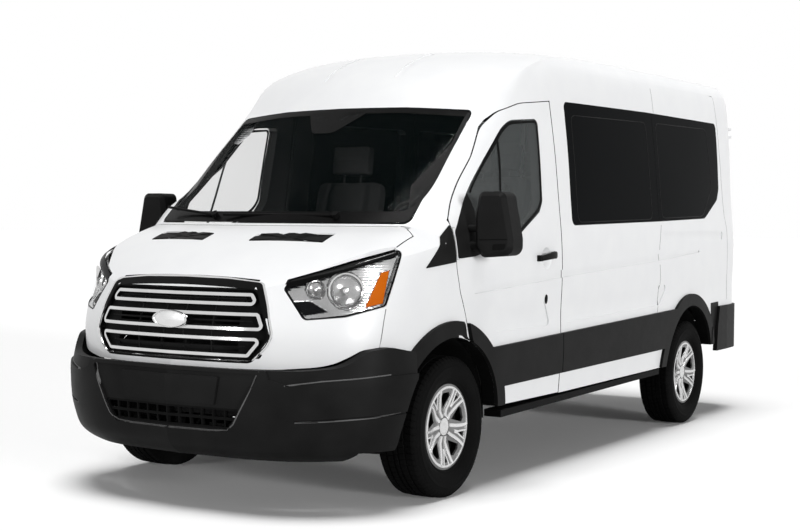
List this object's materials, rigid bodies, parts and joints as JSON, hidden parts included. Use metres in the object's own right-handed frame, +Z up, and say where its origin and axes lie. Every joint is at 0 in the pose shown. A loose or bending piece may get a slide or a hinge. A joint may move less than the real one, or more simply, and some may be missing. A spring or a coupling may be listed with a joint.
{
  "type": "minibus",
  "caption": "High-roofed passenger minibus with a short sloping hood, bonnet grille, long dark side windows, sliding side door, twin rear doors and steel wheels.",
  "frame": {"origin": "on the ground below the centre of the bounding box", "axes": "+X to the driver's side (left), +Y to the rear, +Z up; the front faces -Y"},
  "size_m": [2.472, 5.5313, 2.5036],
  "materials": {
    "white_paint": "gloss",
    "charcoal_plastic": "fine grain",
    "clear_glass": "clear",
    "tinted_glass": "dark tint",
    "bright_chrome": "polished",
    "silver_paint": "metallic",
    "tyre_rubber": "matte",
    "red_lens": "clear red",
    "dark_steel": "dull",
    "grey_fabric": "woven"
  },
  "bodies": {
    "chassis": {"body_side_left": "white_paint", "body_side_right": "white_paint", "sliding_door": "white_paint", "roof_cap": "white_paint", "roof": "white_paint", "windshield_frame": "white_paint", "front_fascia": "white_paint", "front_fenders": "white_paint", "rear_frame": "white_paint", "grille_surround": "charcoal_plastic", "front_bumper": "charcoal_plastic", "lower_grille": "charcoal_plastic", "body_mouldings": "charcoal_plastic", "rear_bumper": "charcoal_plastic", "running_boards": "charcoal_plastic", "wipers": "charcoal_plastic", "wheelhouses": "charcoal_plastic", "dashboard": "charcoal_plastic", "windshield": "clear_glass", "headlight_covers": "clear_glass", "side_windows": "tinted_glass", "grille_loops": "bright_chrome", "headlight_bowls": "bright_chrome", "tail_lamps": "red_lens", "front_subframe": "dark_steel", "rear_axle": "dark_steel", "engine_block": "dark_steel", "gearbox_and_shaft": "dark_steel", "exhaust": "dark_steel", "fuel_tank": "dark_steel", "floor_pan": "dark_steel", "firewall": "dark_steel", "seats": "grey_fabric"},
    "hood_leaf": {"hood": "white_paint"},
    "front_door_left": {"door_left": "white_paint", "door_glass_left": "clear_glass", "door_moulding_left": "charcoal_plastic", "mirror_left": "charcoal_plastic"},
    "front_door_right": {"door_right": "white_paint", "door_glass_right": "clear_glass", "door_moulding_right": "charcoal_plastic", "mirror_right": "charcoal_plastic"},
    "back_door_left": {"rear_door_left": "white_paint", "rear_glass_left": "tinted_glass"},
    "back_door_right": {"rear_door_right": "white_paint", "rear_glass_right": "tinted_glass"},
    "steering": {"steering_wheel": "charcoal_plastic"},
    "hub_left": {"knuckle_left": "dark_steel"},
    "hub_right": {"knuckle_right": "dark_steel"},
    "wheel_front_left": {"tyre_front_left": "tyre_rubber", "rim_front_left": "silver_paint"},
    "wheel_front_right": {"tyre_front_right": "tyre_rubber", "rim_front_right": "silver_paint"},
    "wheel_rear_left": {"tyre_rear_left": "tyre_rubber", "rim_rear_left": "silver_paint"},
    "wheel_rear_right": {"tyre_rear_right": "tyre_rubber", "rim_rear_right": "silver_paint"}
  },
  "joints": [
    {"name": "steer_left", "type": "hinge", "parent": "chassis", "child": "hub_left", "pos_m": [0.8, -1.7425, 0.356], "axis": [0, 0, 1], "range_deg": [-35, 35]},
    {"name": "steer_right", "type": "hinge", "parent": "chassis", "child": "hub_right", "pos_m": [-0.8, -1.7425, 0.356], "axis": [0, 0, 1], "range_deg": [-35, 35]},
    {"name": "spin_front_left", "type": "hinge", "parent": "hub_left", "child": "wheel_front_left", "pos_m": [0.866, -1.7425, 0.356], "axis": [1, 0, 0], "continuous": true},
    {"name": "spin_rear_left", "type": "hinge", "parent": "chassis", "child": "wheel_rear_left", "pos_m": [0.8715, 1.5575, 0.356], "axis": [1, 0, 0], "continuous": true},
    {"name": "spin_front_right", "type": "hinge", "parent": "hub_right", "child": "wheel_front_right", "pos_m": [-0.866, -1.7425, 0.356], "axis": [1, 0, 0], "continuous": true},
    {"name": "spin_rear_right", "type": "hinge", "parent": "chassis", "child": "wheel_rear_right", "pos_m": [-0.8715, 1.5575, 0.356], "axis": [1, 0, 0], "continuous": true},
    {"name": "door_left_swing", "type": "hinge", "parent": "chassis", "child": "front_door_left", "pos_m": [1.004, -1.722, 1.1], "axis": [0, 0, -1], "range_deg": [0, 68]},
    {"name": "door_right_swing", "type": "hinge", "parent": "chassis", "child": "front_door_right", "pos_m": [-1.004, -1.722, 1.1], "axis": [0, 0, 1], "range_deg": [0, 68]},
    {"name": "back_door_left_swing", "type": "hinge", "parent": "chassis", "child": "back_door_left", "pos_m": [0.845, 2.7, 1.4], "axis": [0, 0, -1], "range_deg": [0, 90]},
    {"name": "back_door_right_swing", "type": "hinge", "parent": "chassis", "child": "back_door_right", "pos_m": [-0.845, 2.7, 1.4], "axis": [0, 0, 1], "range_deg": [0, 90]},
    {"name": "hood_lift", "type": "hinge", "parent": "chassis", "child": "hood_leaf", "pos_m": [0, -1.908, 1.345], "axis": [-1, 0, 0], "range_deg": [0, 50]},
    {"name": "steering_wheel_turn", "type": "hinge", "parent": "chassis", "child": "steering", "pos_m": [0.43, -1.12, 1.33], "axis": [0, 0.8829, 0.4695], "range_deg": [-525, 525]}
  ],
  "couplings": [
    {"joint": "steer_right", "follows": "steer_left", "ratio": 1},
    {"joint": "steering_wheel_turn", "follows": "steer_left", "ratio": 15}
  ]
}
